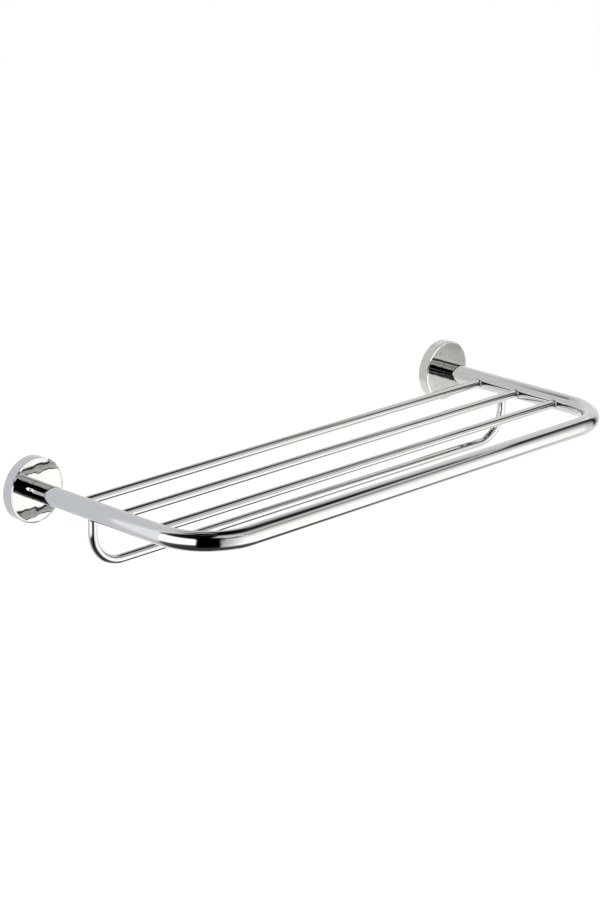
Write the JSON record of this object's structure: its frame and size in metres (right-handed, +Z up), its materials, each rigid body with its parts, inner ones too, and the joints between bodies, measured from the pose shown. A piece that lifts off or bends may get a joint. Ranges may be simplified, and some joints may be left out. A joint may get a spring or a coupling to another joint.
{
  "type": "wall towel rack",
  "caption": "Wall-mounted towel rack in chromed tube: a bent frame with slim shelf bars across it, a U-shaped towel rail hanging below, and round rosettes with hidden fixings.",
  "frame": {"origin": "on the wall, midway between the two rosettes, level with the arms' axes", "axes": "+X along the wall, +Y into the wall, +Z up; the rack stands out from the wall towards -Y"},
  "size_m": [0.667, 0.26, 0.0962],
  "materials": {
    "chrome": "polished chrome plating on brass",
    "cast_zinc": "raw die-cast zinc",
    "plated_steel": "zinc-plated steel",
    "brass": "turned brass"
  },
  "bodies": {
    "root": {"frame_tube": "chrome", "shelf_bar_back": "chrome", "shelf_bar_middle": "chrome", "shelf_bar_front": "chrome", "lower_rail": "chrome", "rosette_left": "chrome", "rosette_right": "chrome", "wall_plate_left": "cast_zinc", "wall_plate_right": "cast_zinc", "spring_washer_left": "plated_steel", "spring_washer_right": "plated_steel", "clamp_bolt_left": "plated_steel", "clamp_bolt_right": "plated_steel", "arm_plug_left": "brass", "arm_plug_right": "brass", "grub_screw_left": "plated_steel", "grub_screw_right": "plated_steel"}
  },
  "joints": []
}
